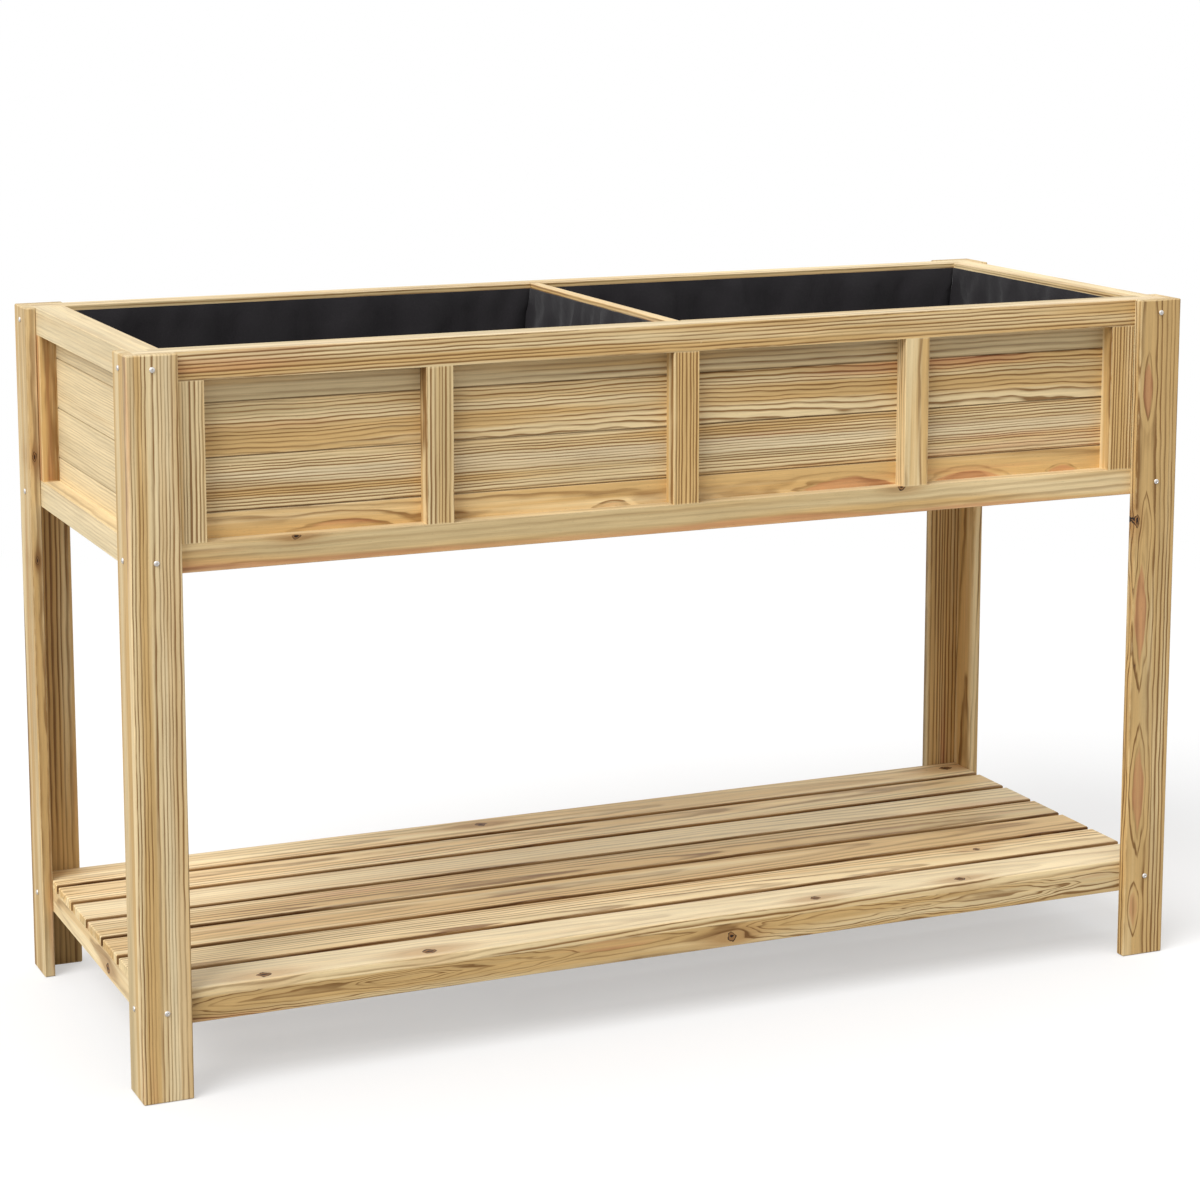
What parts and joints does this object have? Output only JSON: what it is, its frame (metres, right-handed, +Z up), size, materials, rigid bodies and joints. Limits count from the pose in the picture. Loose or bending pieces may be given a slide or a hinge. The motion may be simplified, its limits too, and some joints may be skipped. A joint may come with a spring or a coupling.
{
  "type": "elevated planter",
  "caption": "Raised wooden planter box on four L-section corner posts, with framed matched-board walls, a divider, cloth liners and a slatted storage shelf below.",
  "frame": {"origin": "on the ground, under the middle of the planter's length and depth", "axes": "+X along the length to the right as the front is faced, +Y from front to back, +Z up"},
  "size_m": [1.2038, 0.4738, 0.755],
  "materials": {
    "post_wood": "planed fir, satin",
    "batten_wood": "planed fir, satin",
    "board_wood": "planed fir, satin",
    "slat_wood": "planed fir, satin",
    "floor_wood": "sawn fir, matt",
    "liner_cloth": "black non-woven cloth, matt",
    "screw_zinc": "bright zinc plate"
  },
  "bodies": {
    "root": {"front_left_post_face": "post_wood", "front_left_post_side": "post_wood", "front_right_post_face": "post_wood", "front_right_post_side": "post_wood", "rear_left_post_face": "post_wood", "rear_left_post_side": "post_wood", "rear_right_post_face": "post_wood", "rear_right_post_side": "post_wood", "front_top_rail": "batten_wood", "front_bottom_rail": "batten_wood", "rear_top_rail": "batten_wood", "rear_bottom_rail": "batten_wood", "left_top_rail": "batten_wood", "left_bottom_rail": "batten_wood", "right_top_rail": "batten_wood", "right_bottom_rail": "batten_wood", "front_stile_1": "batten_wood", "front_stile_2": "batten_wood", "front_stile_3": "batten_wood", "front_stile_4": "batten_wood", "front_stile_5": "batten_wood", "rear_stiles": "batten_wood", "left_front_stile": "batten_wood", "left_rear_stile": "batten_wood", "right_front_stile": "batten_wood", "right_rear_stile": "batten_wood", "front_board_1": "board_wood", "front_board_2": "board_wood", "front_board_3": "board_wood", "front_board_4": "board_wood", "rear_board_1": "board_wood", "rear_board_2": "board_wood", "rear_board_3": "board_wood", "rear_board_4": "board_wood", "left_board_1": "board_wood", "left_board_2": "board_wood", "left_board_3": "board_wood", "left_board_4": "board_wood", "right_board_1": "board_wood", "right_board_2": "board_wood", "right_board_3": "board_wood", "right_board_4": "board_wood", "divider": "board_wood", "floor_bearers": "floor_wood", "floor_slats": "floor_wood", "shelf_front_rail": "batten_wood", "shelf_rear_rail": "batten_wood", "shelf_left_rail": "batten_wood", "shelf_right_rail": "batten_wood", "shelf_bearers": "floor_wood", "shelf_slat_1": "slat_wood", "shelf_slat_2": "slat_wood", "shelf_slat_3": "slat_wood", "shelf_slat_4": "slat_wood", "shelf_slat_5": "slat_wood", "shelf_slat_6": "slat_wood", "shelf_slat_7": "slat_wood", "liner_left": "liner_cloth", "liner_right": "liner_cloth", "post_screws": "screw_zinc"}
  },
  "joints": []
}
